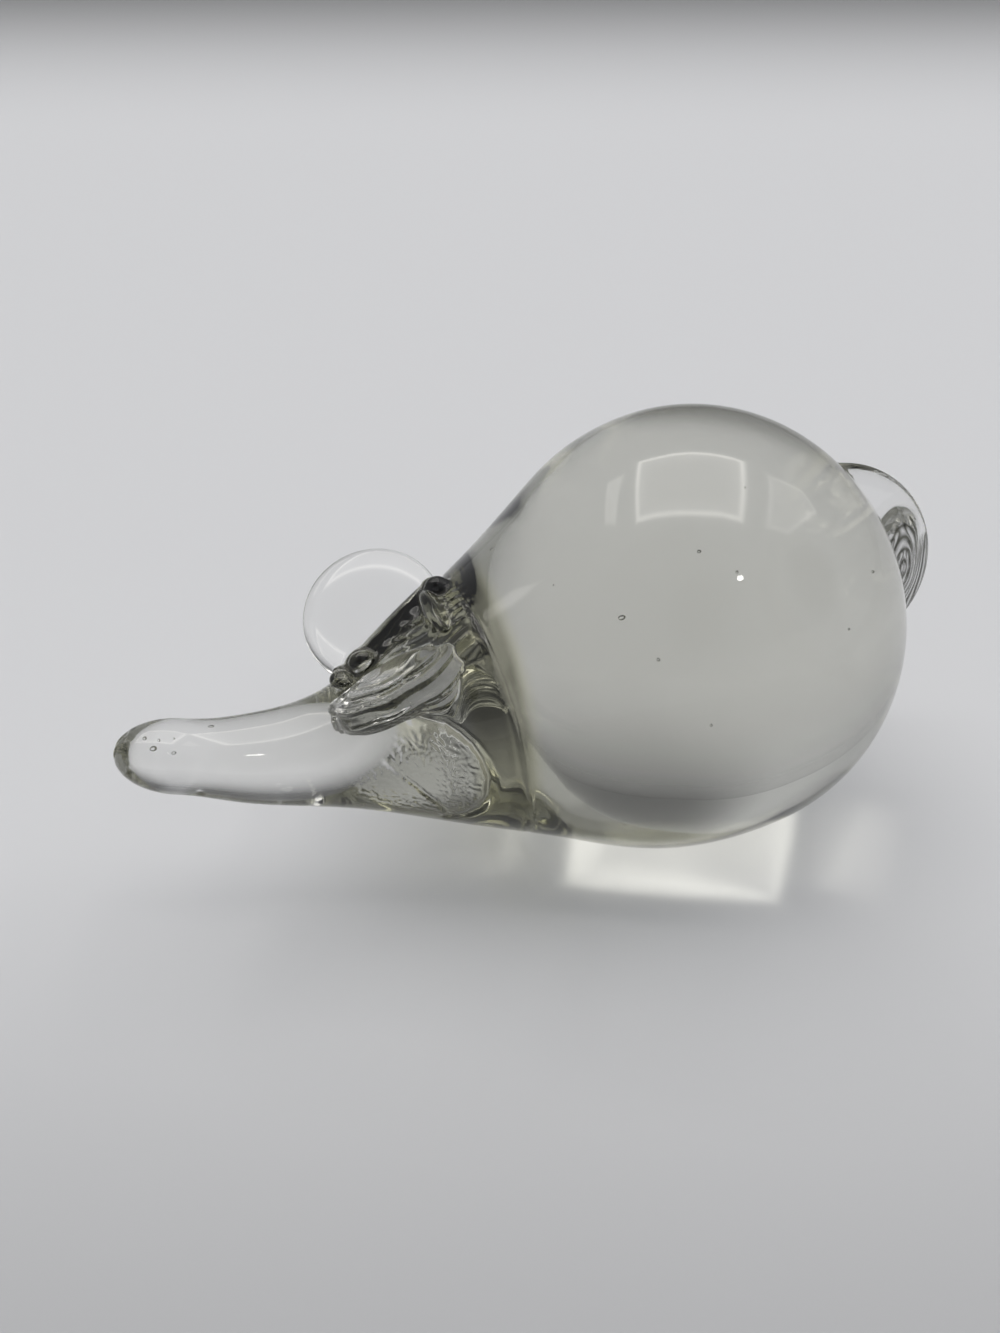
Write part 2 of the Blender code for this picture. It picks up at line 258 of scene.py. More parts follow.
# the lamps and the walls' front opening, as corners on a level plane overhead
LAMP_SQUARE = ((-0.11, 0.88), (0.65, 0.46), (0.29, -0.22), (-0.57, 0.23))
LAMP_LOW_EDGE = ((-3.0, 1.6), (3.0, -1.83), (0.29, -0.24), (-0.57, 0.22))
LEFT_STRIP = ((-0.33, 0.90), (-0.87, 0.45), (-1.04, 0.66), (-0.60, 1.09))
RIGHT_STRIP = ((0.87, 0.29), (1.40, 0.25), (1.58, 0.02), (0.83, -0.38), (0.56, -0.31))
OPENING = ((-2.9, 0.6), (-0.1, -0.1), (2.2, -3.1), (-3.1, -4.0))
OPENING_SHARE = 0.25
# dark places on the walls: azimuth, elevation, inner and outer radius, and share
DARK_SPOTS = (
    (38.0, 3.0, 2.0, 29.0, 0.78), (126.0, 29.0, 7.0, 19.0, 0.95), (80.0, 8.0, 12.0, 34.0, 0.4),
    (315.0, 15.0, 20.0, 50.0, 0.3), (200.0, 40.0, 8.0, 22.0, 0.6),
)


def unit(v):
    return np.asarray(v, float) / np.linalg.norm(v)


def spline(knots, values, first_slope, last_slope):
    """Reads the smooth cubic curve through the knots, as (value, slope) of an array of places."""
    knots = np.asarray(knots, float)
    values = np.asarray(values, float)
    steps = np.diff(knots)
    slopes = np.diff(values) / steps
    count = len(knots)
    matrix = np.eye(count)
    right = np.zeros(count)
    for i in range(1, count - 1):
        matrix[i, i - 1:i + 2] = steps[i - 1], 2.0 * (steps[i - 1] + steps[i]), steps[i]
        right[i] = 6.0 * (slopes[i] - slopes[i - 1])
    if first_slope is not None:
        matrix[0, 0:2] = 2.0 * steps[0], steps[0]
        right[0] = 6.0 * (slopes[0] - first_slope)
    if last_slope is not None:
        matrix[-1, -2:] = steps[-1], 2.0 * steps[-1]
        right[-1] = 6.0 * (last_slope - slopes[-1])
    bend = np.linalg.solve(matrix, right)

    def read(where):
        i = np.clip(np.searchsorted(knots, where) - 1, 0, count - 2)
        step = steps[i]
        a = (knots[i + 1] - where) / step
        b = 1.0 - a
        value = a * values[i] + b * values[i + 1]
        value += ((a ** 3 - a) * bend[i] + (b ** 3 - b) * bend[i + 1]) * step * step / 6.0
        slope = slopes[i] + ((1 - 3 * a * a) * bend[i] + (3 * b * b - 1) * bend[i + 1]) * step / 6.0
        return value, slope

    return read


ALONG = [-distance for distance, _, _ in STATIONS][::-1]
HEIGHT = spline(ALONG, [-drop for _, _, drop in STATIONS][::-1], None, RUMP_RISE)
SIZE = spline(ALONG, [half for _, half, _ in STATIONS][::-1], 0.0, 0.0)


def blend(a, b, reach):
    """Union of two fields with a fillet about as large as reach."""
    h = np.clip(0.5 + 0.5 * (b - a) / reach, 0.0, 1.0)
    return b + (a - b) * h - reach * h * (1.0 - h)


def carve(a, b, reach):
    """What two fields have in common, with an edge rounded by about reach."""
    return -blend(-a, -b, reach)


def line_distance(x, z, corners):
    """Distance in the plane from a line through the corners."""
    best = np.full(len(x), 1e9)
    for (ax, az), (bx, bz) in zip(corners, corners[1:]):
        dx, dz = bx - ax, bz - az
        t = np.clip(((x - ax) * dx + (z - az) * dz) / (dx * dx + dz * dz), 0.0, 1.0)
        best = np.minimum(best, np.hypot(x - ax - t * dx, z - az - t * dz))
    return best


def line_inside(x, z, corners):
    """Where the plane's points are inside the closed line."""
    inside = np.zeros(len(x), bool)
    for (ax, az), (bx, bz) in zip(corners, corners[1:] + corners[:1]):
        if az != bz:
            inside ^= ((az > z) != (bz > z)) & (x < ax + (z - az) * (bx - ax) / (bz - az))
    return inside


def crown_relief(x, y):
    """How deep the folds between the ears lie, lengthwise and drawn a little to the left."""
    middle, half, fade = CROWN_FOLD_X
    amount = np.clip((half - np.abs(x - middle)) / fade, 0.0, 1.0)
    across = y + 0.12 * (x - middle) + 0.5 * np.sin(0.7 * x)
    half, fade = CROWN_FOLD_Y
    amount = amount * np.clip((half - np.abs(y)) / fade, 0.0, 1.0)
    return CROWN_FOLD_DEPTH * amount * np.sin(2.0 * np.pi * across / CROWN_FOLD_PITCH)


def patch_relief(x, z):
    """How deep the patch's grooves and its skin like orange peel lie."""
    rim = line_distance(x, z, PATCH_RIM)
    fold = line_distance(x, z, PATCH_FOLD)
    relief = PATCH_RIM_DEPTH * np.exp(-(rim / PATCH_RIM_WIDTH) ** 2)
    relief = relief + PATCH_FOLD_DEPTH * np.exp(-(fold / PATCH_FOLD_WIDTH) ** 2)
    depth = np.where(line_inside(x, z, PATCH), line_distance(x, z, PATCH + PATCH[:1]), 0.0)
    amount = np.clip(depth / PEEL_FADE, 0.0, 1.0)
    peel = np.sin(4.9 * x + 1.7 * np.sin(2.3 * z)) * np.sin(4.3 * z + 1.9 * np.sin(2.1 * x + 0.7))
    peel = peel + 0.6 * np.sin(3.4 * (x + z) + 2.1 * np.sin(1.7 * (x - z)))
    return relief + PEEL_DEPTH * amount * amount * (3.0 - 2.0 * amount) * peel


def within_box(p, box):
    """Indices of the points in a box, given as (from, to) of x, y and z."""
    low, high = np.array(box).T
    return np.flatnonzero(((p > low) & (p < high)).all(1))


def body_field(p):
    """Distance from the body's skin, about, for points measured from its widest part."""
    x = np.clip(p[:, 0], -NOSE_DISTANCE, 0.0)
    for _ in range(4):
        height, rise = HEIGHT(x)
        length = np.sqrt(1.0 + rise * rise)
        ahead = ((p[:, 0] - x) + (p[:, 2] - height) * rise) / length
        x = np.clip(x + ahead / length, -NOSE_DISTANCE, 0.0)
    height, rise = HEIGHT(x)
    length = np.sqrt(1.0 + rise * rise)
    ahead = ((p[:, 0] - x) + (p[:, 2] - height) * rise) / length
    up = (-(p[:, 0] - x) * rise + (p[:, 2] - height)) / length
    # towards the neck the egg grows round, and below it is flatter, and fuller low on its left
    neck = np.clip((-x - NECK_START) / NECK_LENGTH, 0.0, 1.0)
    neck = neck * neck * (3.0 - 2.0 * neck)
    wide = BODY_HALF_HEIGHT / BODY_HALF_WIDTH
    side = p[:, 1] * (wide + (NECK_WIDE - wide) * neck)
    egg = 1.0 / (1.0 + np.exp(-(x + EGG_END) / EGG_SOFT))
    above = CROWN + (NECK_FLAT - CROWN) * neck
    below = NECK_FLAT + (BELLY - NECK_FLAT) * egg
    up = up * (1.0 + np.where(up < 0.0, below, above))
    low = up * up / (up * up + side * side + 1e-6)
    bulge = np.where(up < 0.0, BELLY_BULGE * egg * low * low * (1.0 - low), 0.0)
    bulge = bulge * (0.5 - 0.5 * side / np.sqrt(side * side + BULGE_SIDE ** 2))
    size, taper = SIZE(x)
    reach = np.where(ahead > 0.0, size / RUMP_DEPTH, size / NOSE_DEPTH)
    reach = np.where((x > -NOSE_DISTANCE) & (x < 0.0), 0.0, reach)
    out = np.sqrt(up * up + side * side + (ahead * reach) ** 2) / (1.0 + bulge)
    around = np.arctan2(side, up)
    crease = x + JACK_DISTANCE + CREASE_WAVE * np.sin(3.0 * around + 0.6)
    size = size - CREASE_DEPTH * np.exp(-(crease / CREASE_WIDTH) ** 2)
    size = size + LIP_HEIGHT * np.exp(-((crease + LIP_DISTANCE) / LIP_WIDTH) ** 2)
    field = (out - size) / np.sqrt(1.0 + taper * taper)
    tip = within_box(p, NICKS_BOX)
    if len(tip):
        for place, sizes, depth in NICKS:
            away = (p[tip] - np.array(place)) / np.array(sizes)
            field[tip] += depth * np.exp(-(away ** 2).sum(1))
    crown = within_box(p, CROWN_BOX)
    if len(crown):
        field[crown] += crown_relief(p[crown, 0], p[crown, 1])
    near = within_box(p, PATCH_BOX)
    if len(near):
        field[near] += patch_relief(p[near, 0], p[near, 2])
    return carve(field, -(p[:, 2] + WIDE[2]), BASE_ROUND)


def disc_field(p, centre, first, second, half_first, half_second, half_thick, power, thin=0.0):
    """Distance from a pressed disc, about, and each point's latitude up from the rim."""
    third = np.cross(first, second)
    q = p - centre
    a = q @ first / half_first
    b = q @ second / half_second
    half_thick = half_thick * (1.0 - thin * np.clip(0.5 + 0.5 * b, 0.0, 1.0))
    height = q @ third / half_thick
    c = np.abs(height)
    r = np.sqrt(a * a + b * b) + 1e-9
    level = (r ** power + c ** power) ** (1.0 / power)
    # the slope of the level turns it into a distance
    dr = (r / level) ** (power - 1.0)
    dc = (c / level) ** (power - 1.0)
    da = dr * a / r / half_first
    db = dr * b / r / half_second
    slope = np.sqrt(da * da + db * db + (dc / half_thick) ** 2) + 1e-3
    latitude = np.degrees(np.arctan2(np.sign(height) * c ** (power / 2.0), r ** (power / 2.0)))
    return (level - 1.0) / slope, latitude


def lump_field(p, centre, sizes, axes=np.eye(3)):
    """Distance from an ellipsoid, about."""
    q = (p - np.asarray(centre, float)) @ np.asarray(axes, float).T / np.asarray(sizes, float)
    level = np.sqrt((q * q).sum(1)) + 1e-9
    slope = np.sqrt(((q / np.asarray(sizes, float)) ** 2).sum(1)) / level + 1e-3
    return (level - 1.0) / slope


def ear_field(p, side):
    """One ear: a pressed disc and the lumps where it was stuck on."""
    mirror = np.array([1.0, side, 1.0])
    q = p * mirror
    out = unit(EAR_OUT)
    chord = unit(EAR_CHORD - out * (EAR_CHORD @ out))
    axes = np.array([chord, out, np.cross(chord, out)])
    if side > 0.0:
        field, _ = disc_field(
            q, EAR_CENTRE, chord, out, EAR_RADIUS, EAR_RADIUS,
            0.5 * FAR_EAR_THICKNESS, FAR_EAR_POWER,
        )
        for place, sizes in FAR_EAR_LUMPS:
            field = blend(field, lump_field(p, place, sizes), FAR_LUMP_FILLET)
        # pleats at its root
        along = (q - EAR_CENTRE) @ chord
        root = np.clip((-ROOT_HEIGHT - (q - EAR_CENTRE) @ out) / ROOT_HEIGHT, 0.0, 1.0)
        along = along + ROOT_SLANT * (q - EAR_CENTRE) @ out
        for place, width, depth in ROOT_PLEATS:
            field = field + depth * root * np.exp(-((along - place) / width) ** 2)
        return field
    centre = EAR_CENTRE + chord * NEAR_EAR_SHIFT
    field, latitude = disc_field(
        q, centre, chord, out, NEAR_EAR_CHORD, EAR_RADIUS, 0.5 * EAR_THICKNESS, EAR_POWER,
    )
    # its folds wander a little
    along = (q - centre) @ chord
    latitude = latitude + 5.0 * np.sin(0.28 * along + 0.4) + 1.6 * np.sin(1.1 * along)
    for place, sizes in NEAR_EAR_LUMPS:
        lump = lump_field(q, centre + axes.T @ np.array(place), sizes, axes)
        field = blend(field, lump, NEAR_LUMP_FILLET)
    for fold, width, depth in EAR_FOLDS:
        field = field + depth * np.exp(-((latitude - fold) / width) ** 2)
    return field


def tail_axes():
    """The tail's own directions, across and along its oval, in its plane."""
    outward = unit((1.0, 0.0, RUMP_RISE))
    turn = math.radians(TAIL_TURN)
    across = np.array([
        outward[0] * math.cos(turn) - outward[2] * math.sin(turn),
        0.0,
        outward[0] * math.sin(turn) + outward[2] * math.cos(turn),
    ])
    return across, np.array([-across[2], 0.0, across[0]])


TAIL_ACROSS, TAIL_ALONG = tail_axes()
ARCH_CENTRE = TAIL_CENTRE + ARCH_PLACE[0] * TAIL_ACROSS + ARCH_PLACE[1] * TAIL_ALONG
ARCH_LONG = unit(ARCH_SLANT[0] * TAIL_ACROSS + ARCH_SLANT[1] * TAIL_ALONG)
ARCH_WIDE = unit(ARCH_SLANT[1] * TAIL_ACROSS - ARCH_SLANT[0] * TAIL_ALONG)


def tail_field(p):
    """The tail: an oval disc standing in the mirror plane, with a thick butt low on its rim."""
    field, _ = disc_field(
        p, TAIL_CENTRE, TAIL_ACROSS, TAIL_ALONG, 0.5 * TAIL_WIDTH, 0.5 * TAIL_LENGTH,
        0.5 * TAIL_THICKNESS, TAIL_POWER, TAIL_THIN,
    )
    slant = np.array([ARCH_WIDE, ARCH_LONG, np.cross(ARCH_WIDE, ARCH_LONG)])
    field = blend(field, lump_field(p, ARCH_CENTRE, BUTT_SIZES, slant), BUTT_FILLET)
    (a, b), sizes = FOOT_LUMP
    foot = lump_field(p, TAIL_CENTRE + TAIL_ACROSS * a + TAIL_ALONG * b, sizes)
    field = blend(field, foot, FOOT_FILLET)
    # the glass of the butt lies in nested arches
    q = p - ARCH_CENTRE
    arch = np.sqrt((q @ ARCH_WIDE) ** 2 + (q @ ARCH_LONG / ARCH_LENGTH) ** 2)
    wave = 0.5 - 0.5 * np.cos(2.0 * np.pi * arch / ARCH_PITCH)
    return field + ARCH_DEPTH * wave * np.exp(-(arch / ARCH_REACH) ** 6)


def piece_fields(p):
    """The four fields, in the order of PIECES."""
    return body_field(p), ear_field(p, 1.0), ear_field(p, -1.0), tail_field(p)


def skin_field(p):
    """The whole glass."""
    body, right, left, tail = piece_fields(p)
    head = blend(blend(body, right, FAR_EAR_FILLET), left, FILLET)
    return blend(head, tail, FILLET)


def field_slope(field, p, step=0.01):
    """Slope of a field at each point."""
    slope = np.empty_like(p)
    for axis in range(3):
        ahead = p.copy()
        ahead[:, axis] += step
        behind = p.copy()
        behind[:, axis] -= step
        slope[:, axis] = (field(ahead) - field(behind)) / (2.0 * step)
    return slope


def graded(low, high, coarse, fine, spots):
    """Grid places from low to high, closer together near the spots (start, end)."""
    places = [low]
    while places[-1] < high:
        here = places[-1]
        gap = min(max(start - here, here - end, 0.0) for start, end in spots)
        places.append(here + min(coarse, fine + GRID_GROWTH * gap))
    return np.array(places)


CORNERS = np.array([(i, j, k) for i in (0, 1) for j in (0, 1) for k in (0, 1)])
EDGES = [
    (a, b) for a in range(8) for b in range(a + 1, 8) if abs(CORNERS[a] - CORNERS[b]).sum() == 1
]


def grid_values(field, grids):
    """The field at the grid's nodes, exact only near the skin."""
    shape = tuple(len(g) for g in grids)
    coarse = [np.append(np.arange(0, n - 1, ROUGH_STEP), n - 1) for n in shape]
    nodes = np.stack(np.meshgrid(*[g[c] for g, c in zip(grids, coarse)], indexing="ij"), -1)
    rough = field(nodes.reshape(-1, 3)).reshape(nodes.shape[:3])
    nearest = [np.clip(np.round(np.arange(n) / ROUGH_STEP).astype(int), 0, len(c) - 1)
               for n, c in zip(shape, coarse)]
    values = rough[np.ix_(*nearest)]
    close = np.argwhere(np.abs(values) < NEAR_SKIN)
    places = np.stack([g[close[:, i]] for i, g in enumerate(grids)], -1)
    values[tuple(close.T)] = field(places)
    return values


def skin_mesh(field, grids):
    """Points and quads on the zero surface of a field: one point per mixed cell."""
    values = grid_values(field, grids)
    inside = values < 0.0
    n = np.array(values.shape)
    count = sum(inside[i:n[0] - 1 + i, j:n[1] - 1 + j, k:n[2] - 1 + k].astype(np.int8)
                for i, j, k in CORNERS)
    cells = np.argwhere((count > 0) & (count < 8))
    number = np.full(tuple(n - 1), -1)
    number[tuple(cells.T)] = np.arange(len(cells))
    corner = np.stack([values[tuple((cells + c).T)] for c in CORNERS], 1)
    total = np.zeros((len(cells), 3))
    hits = np.zeros(len(cells))
    for a, b in EDGES:
        mixed = (corner[:, a] < 0.0) != (corner[:, b] < 0.0)
        share = corner[:, a] / np.where(mixed, corner[:, a] - corner[:, b], 1.0)
        crossing = CORNERS[a] + share[:, None] * (CORNERS[b] - CORNERS[a])
        total += np.where(mixed[:, None], crossing, 0.0)
        hits += mixed
    inner = total / hits[:, None]
    points = np.stack(
        [g[cells[:, i]] + inner[:, i] * (g[cells[:, i] + 1] - g[cells[:, i]])
         for i, g in enumerate(grids)], -1)
    quads = []
    for axis in range(3):
        u, v = (axis + 1) % 3, (axis + 2) % 3
        step = np.eye(3, dtype=int)
        low = inside[tuple(slice(0, -1) if i == axis else slice(1, -1) for i in range(3))]
        high = inside[tuple(slice(1, None) if i == axis else slice(1, -1) for i in range(3))]
        for ends, flip in (((low & ~high), False), ((~low & high), True)):
            cell = np.argwhere(ends)
            cell[:, u] += 1
            cell[:, v] += 1
            ring = [cell - step[u] - step[v], cell - step[v], cell, cell - step[u]]
            ring = np.stack([number[tuple(c.T)] for c in ring], 1)
            quads.append(ring[:, ::-1] if flip else ring)
    return points, np.concatenate(quads)


def settle(field, points, rounds):
    """Moves points onto the zero surface."""
    for _ in range(rounds):
        slope = field_slope(field, points)
        points = points - slope * (field(points) / (slope ** 2).sum(1))[:, None]
    return points


def relax(points, quads):
    """Moves each point to the middle of its neighbours."""
    total = np.zeros_like(points)
    hits = np.zeros(len(points))
    for a in range(4):
        for b in ((a + 1) % 4, (a - 1) % 4):
            for axis in range(3):
                total[:, axis] += np.bincount(
                    quads[:, a], points[quads[:, b], axis], minlength=len(points))
            hits += np.bincount(quads[:, a], minlength=len(points))
    return 0.5 * points + 0.5 * total / hits[:, None]


def make_skin():
    """Points, quads and normals of the whole glass."""
    points, quads = skin_mesh(skin_field, [graded(*grid) for grid in GRIDS])
    for _ in range(2):
        points = settle(skin_field, relax(points, quads), 1)
    points = settle(skin_field, points, 2)
    slope = field_slope(skin_field, points)
    return points, quads, slope / np.linalg.norm(slope, axis=1)[:, None]


def largest_part(quads):
    """Which of some faces belong to their largest connected part."""
    ends = np.sort(np.concatenate([quads[:, [k, (k + 1) % 4]] for k in range(4)]), 1)
    key = ends[:, 0] * (quads.max() + 1) + ends[:, 1]
    face = np.tile(np.arange(len(quads)), 4)
    order = np.argsort(key, kind="stable")
    key, face = key[order], face[order]
    same = key[1:] == key[:-1]
    parent = list(range(len(quads)))

    def root(i):
        while parent[i] != i:
            parent[i] = parent[parent[i]]
            i = parent[i]
        return i

    for a, b in zip(face[:-1][same], face[1:][same]):
        parent[root(a)] = root(b)
    roots = np.array([root(i) for i in range(len(quads))])
    return roots == np.bincount(roots).argmax()


def piece_labels(points, quads):
    """Which piece each face belongs to, as its place in PIECES."""
    middles = points[quads].mean(1)
    label = np.argmin(np.stack(piece_fields(middles)), 0)
    # the ears' roots are parted by a strip of the body
    label[((label == 1) | (label == 2)) & (np.abs(middles[:, 1]) < EAR_PARTING)] = 0
    for which in (1, 2, 3):
        mine = np.flatnonzero(label == which)
        label[mine[~largest_part(quads[mine])]] = 0
    return label


def seam_rim(quads, label, which):
    """The edges round the faces with a label, each as (start, end)."""
    mine = quads[label == which]
    pairs = np.concatenate([mine[:, [k, (k + 1) % 4]] for k in range(4)])
    known = {(int(a), int(b)) for a, b in pairs}
    return sorted((a, b) for a, b in known if (b, a) not in known)


def bubble_shells():
    """Points, faces and normals of the bubbles' walls, which face inwards to the air."""
    points, faces, normals = [], [], []
    turns, rows = BUBBLE_TURNS, BUBBLE_ROWS
    for place, radius, stretch in BUBBLES:
        start = len(points)
        shape = np.array([stretch, 1.0, 1.0])
        for i in range(rows):
            tilt = math.pi * (i + 0.5) / rows
            for k in range(turns):
                turn = 2.0 * math.pi * k / turns
                way = np.array([
                    math.cos(tilt), math.sin(tilt) * math.cos(turn), math.sin(tilt) * math.sin(turn),
                ])
                wobble = math.sin(2.0 * turn + place[0]) * math.sin(2.0 * tilt)
                wobble = 1.0 + BUBBLE_WOBBLE * wobble
                points.append(np.array(place) + way * radius * wobble * shape)
                normals.append(-unit(way / shape))
        front = len(points)
        for end in (1.0, -1.0):
            points.append(np.array(place) + np.array([end * radius * stretch, 0.0, 0.0]))
            normals.append(np.array([-end, 0.0, 0.0]))
        rings = [[start + i * turns + k for k in range(turns)] for i in range(rows)]
        for k in range(turns):
            following = (k + 1) % turns
            faces.append((front, rings[0][following], rings[0][k]))
            faces.append((front + 1, rings[-1][k], rings[-1][following]))
            for near, far in zip(rings, rings[1:]):
                faces.append((near[following], far[following], far[k], near[k]))
    return np.array(points), faces, np.array(normals)


def piece_mesh(name, points, quads, normals, fans, bubbles):
    """One closed piece: its share of the skin, its bubbles, and fans across its seams."""
    used = np.unique(quads)
    place = np.full(len(points), -1)
    place[used] = np.arange(len(used))
    verts = [tuple(v) for v in (points[used] + WIDE) * MM]
    faces = [tuple(int(i) for i in f) for f in place[quads]]
    vert_normals = [tuple(v) for v in normals[used]]
    if bubbles:
        shell_points, shell_faces, shell_normals = bubble_shells()
        faces += [tuple(len(verts) + i for i in face) for face in shell_faces]
        verts += [tuple(v) for v in (shell_points + WIDE) * MM]
        vert_normals += [tuple(v) for v in shell_normals]
    smooth_faces = len(faces)
    for rim, middle in fans:
        centre = len(verts)
        verts.append(tuple((middle + WIDE) * MM))
        vert_normals.append((0.0, 0.0, 0.0))
        for a, b in rim:
            faces.append((int(place[b]), int(place[a]), centre))
    mesh = bpy.data.meshes.new(name)
    mesh.from_pydata(verts, [], faces)
    joint_faces = len(faces) - smooth_faces
    mesh.polygons.foreach_set("use_smooth", [True] * smooth_faces + [False] * joint_faces)
    mesh.polygons.foreach_set("material_index", [0] * smooth_faces + [1] * joint_faces)
    corner_normals = []
    for face in mesh.polygons:
        if face.index < smooth_faces:
            corner_normals.extend(vert_normals[i] for i in face.vertices)
        else:
            corner_normals.extend([(0.0, 0.0, 0.0)] * 3)
    mesh.normals_split_custom_set(corner_normals)
    mesh.update()
    return mesh


def joint_material():
    """The face across a fused joint, where light meets nothing."""
    material = bpy.data.materials.new("fused_joint")
    material.use_nodes = True
    shader = material.node_tree.nodes["Principled BSDF"]
    shader.inputs["Alpha"].default_value = 0.0
    shader.inputs["Specular IOR Level"].default_value = 0.0
    return material


def make_camera():
    """The view from above the nose's side."""
    yaw = math.radians(VIEW_YAW)
    tilt = math.radians(VIEW_TILT)
    right = Vector((math.cos(yaw), -math.sin(yaw), 0.0))
    up = Vector((math.sin(yaw) * math.sin(tilt), math.cos(yaw) * math.sin(tilt), math.cos(tilt)))
    back = right.cross(up)
    data = bpy.data.cameras.new("camera")
    data.sensor_fit = "HORIZONTAL"
    data.sensor_width = SENSOR_WIDTH
    data.lens = SENSOR_WIDTH * VIEW_FOCAL / VIEW_WIDTH
    data.clip_start = 0.01
    data.clip_end = 50.0
    camera = bpy.data.objects.new("camera", data)
    bpy.context.scene.collection.objects.link(camera)
    turn = Matrix((right, up, back)).transposed().to_4x4()
    camera.matrix_world = Matrix.Translation(Vector(VIEW_PLACE) * MM) @ turn
    bpy.context.scene.camera = camera


class Shade:
    """Builds a tree's number nodes from plain sums, so that a shader reads like a formula."""

    def __init__(self, tree):
        self.tree = tree

    def node(self, kind, **settings):
        node = self.tree.nodes.new(kind)
        for key, value in settings.items():
            setattr(node, key, value)
        return node

    def link(self, value, socket):
        if hasattr(value, "links"):
            self.tree.links.new(value, socket)
        else:
            socket.default_value = value

    def math(self, operation, *values):
        node = self.node("ShaderNodeMath", operation=operation)
        for socket, value in zip(node.inputs, values):
            self.link(value, socket)
        return node.outputs[0]

    def times(self, *values):
        total = values[0]
        for value in values[1:]:
            total = self.math("MULTIPLY", total, value)
        return total

    def plus(self, *values):
        total = values[0]
        for value in values[1:]:
            total = self.math("ADD", total, value)
        return total

    def less(self, share):
        """What is left of 1 when a share is taken off."""
        return self.math("SUBTRACT", 1.0, share)

    def smooth(self, value, low, high):
        """0 below low, 1 above high and a soft rise between them."""
        node = self.node("ShaderNodeMapRange", interpolation_type="SMOOTHSTEP")
        self.link(value, node.inputs["Value"])
        node.inputs["From Min"].default_value = min(low, high)
        node.inputs["From Max"].default_value = max(low, high)
        if low > high:
            node.inputs["To Min"].default_value = 1.0
            node.inputs["To Max"].default_value = 0.0
        return node.outputs[0]

    def band(self, value, centre, half, soft):
        """1 within half of centre, 0 beyond it by soft."""
        away = self.math("ABSOLUTE", self.math("SUBTRACT", value, centre))
        return self.smooth(away, half + soft, half - soft)

    def dot(self, vector, direction):
        node = self.node("ShaderNodeVectorMath", operation="DOT_PRODUCT")
        self.link(vector, node.inputs[0])
        node.inputs[1].default_value = direction
        return node.outputs["Value"]


def towards(azimuth, elevation):
    """Unit direction; the azimuth runs from +Y to +X."""
    a = math.radians(azimuth)
    e = math.radians(elevation)
    return (math.sin(a) * math.cos(e), math.cos(a) * math.cos(e), math.sin(e))


